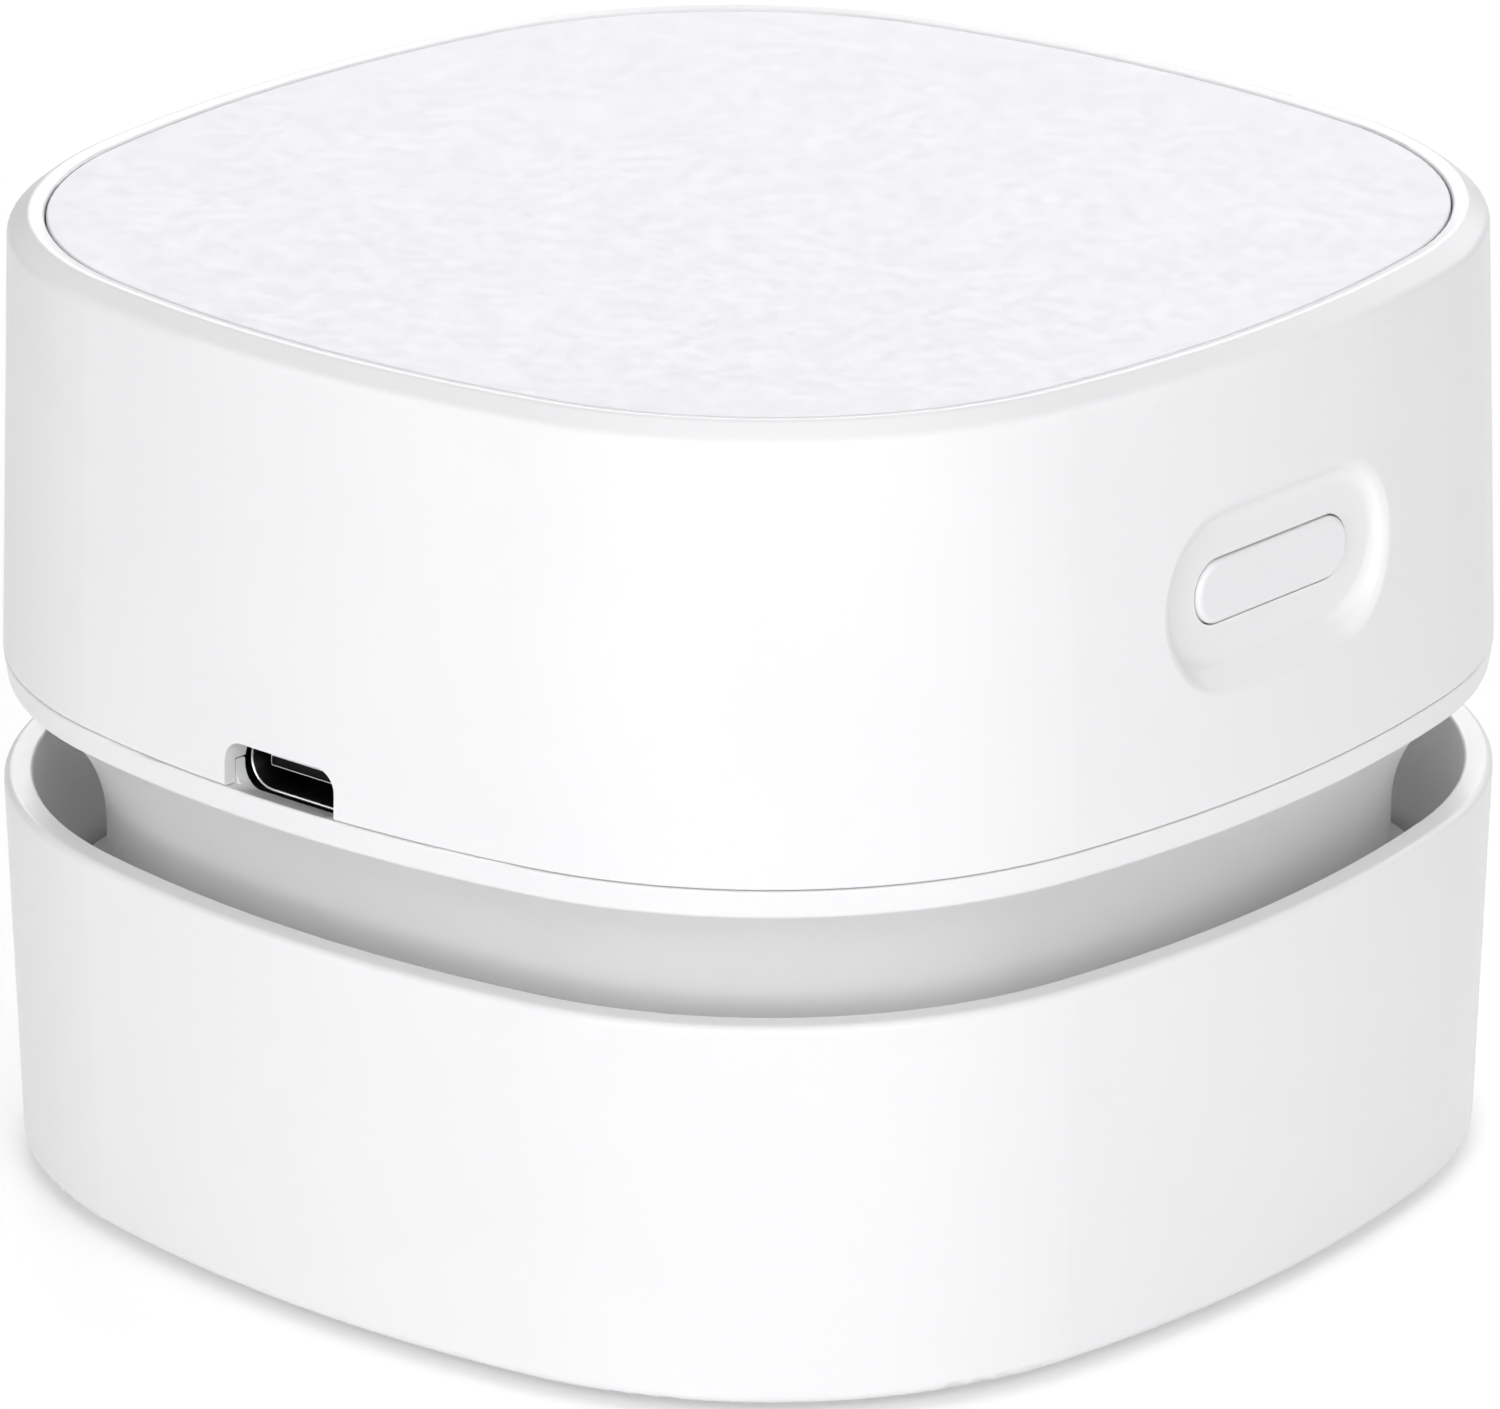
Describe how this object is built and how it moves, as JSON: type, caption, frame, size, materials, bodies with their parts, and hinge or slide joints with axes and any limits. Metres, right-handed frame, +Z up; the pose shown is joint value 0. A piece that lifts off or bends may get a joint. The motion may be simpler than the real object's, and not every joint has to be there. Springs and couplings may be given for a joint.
{
  "type": "desktop mini vacuum cleaner",
  "caption": "Palm-sized battery desk vacuum: a motor head with a side power button and charging socket lifts off a filter cassette and a brush-ringed dust cup.",
  "frame": {"origin": "on the table under the middle of the body, at the bristle tips", "axes": "+Z up; -Y towards the power button; -X towards the charging socket"},
  "size_m": [0.0854, 0.0854, 0.0612],
  "materials": {
    "white_shell": "satin moulded ABS, white",
    "base_white": "fine matte moulded ABS, white",
    "panel": "pale blue-grey satin insert",
    "bristle": "nylon bristles, light grey",
    "filter_plastic": "light grey moulded plastic",
    "steel_mesh": "fine woven steel mesh",
    "foam": "open-cell black foam",
    "rubber_seal": "grey silicone rubber",
    "damper_rubber": "black rubber",
    "inner_plastic": "dark grey moulded plastic",
    "impeller_plastic": "black moulded nylon",
    "motor_steel": "plated steel can",
    "bronze": "sintered bronze",
    "magnet": "ferrite magnet, charcoal grey",
    "contact_brass": "stamped brass",
    "core_iron": "laminated core and ground shaft",
    "copper": "enamelled copper wire",
    "screw_steel": "zinc-plated steel screws",
    "socket_steel": "nickel-plated steel",
    "socket_black": "black insulating plastic",
    "switch_stem": "off-white plastic",
    "board": "green glass-epoxy board",
    "chip": "black moulded components",
    "adhesive": "double-sided adhesive tape",
    "cell_wrap": "blue shrink-wrapped cell",
    "nickel": "nickel strip",
    "wire": "insulated hook-up wire"
  },
  "bodies": {
    "dust_cup": {"dust_cup": "white_shell", "base_plate": "base_white", "brush_strips": "bristle", "base_screws": "screw_steel"},
    "filter_cassette": {"filter_frame": "filter_plastic", "filter_mesh": "steel_mesh", "filter_foam": "foam", "filter_gasket": "rubber_seal"},
    "motor_head": {"lower_cover": "white_shell", "neck_seal": "rubber_seal", "fan_deck": "inner_plastic", "motor_damper": "damper_rubber", "motor_can": "motor_steel", "motor_end_cap": "inner_plastic", "motor_bushes": "bronze", "motor_magnets": "magnet", "motor_terminals": "contact_brass", "motor_screws": "screw_steel", "upper_shell": "white_shell", "top_panel": "panel", "panel_tape": "adhesive", "head_screws": "screw_steel", "switch_body": "socket_black", "switch_board": "board", "main_board": "board", "board_chips": "chip", "board_screws": "screw_steel", "usb_socket_shell": "socket_steel", "usb_socket_tongue": "socket_black", "battery_cell": "cell_wrap", "battery_tabs": "nickel", "battery_leads": "wire", "motor_leads": "wire", "switch_leads": "wire"},
    "power_button": {"button_cap": "white_shell", "switch_stem": "switch_stem"},
    "rotor": {"motor_shaft": "core_iron", "impeller": "impeller_plastic", "armature_core": "core_iron", "armature_windings": "copper", "commutator": "contact_brass"}
  },
  "joints": [
    {"name": "filter_lift", "type": "slide", "parent": "dust_cup", "child": "filter_cassette", "axis": [0, 0, 1], "range_m": [0, 0.03]},
    {"name": "head_lift", "type": "slide", "parent": "filter_cassette", "child": "motor_head", "axis": [0, 0, 1], "range_m": [0, 0.045]},
    {"name": "button_press", "type": "slide", "parent": "motor_head", "child": "power_button", "axis": [0, 1, 0], "range_m": [0, 0.0005], "stiffness_N_per_m": 1200, "springref_m": -0.0008},
    {"name": "fan_spin", "type": "hinge", "parent": "motor_head", "child": "rotor", "pos_m": [0, 0, 0.022], "axis": [0, 0, 1], "continuous": true}
  ]
}
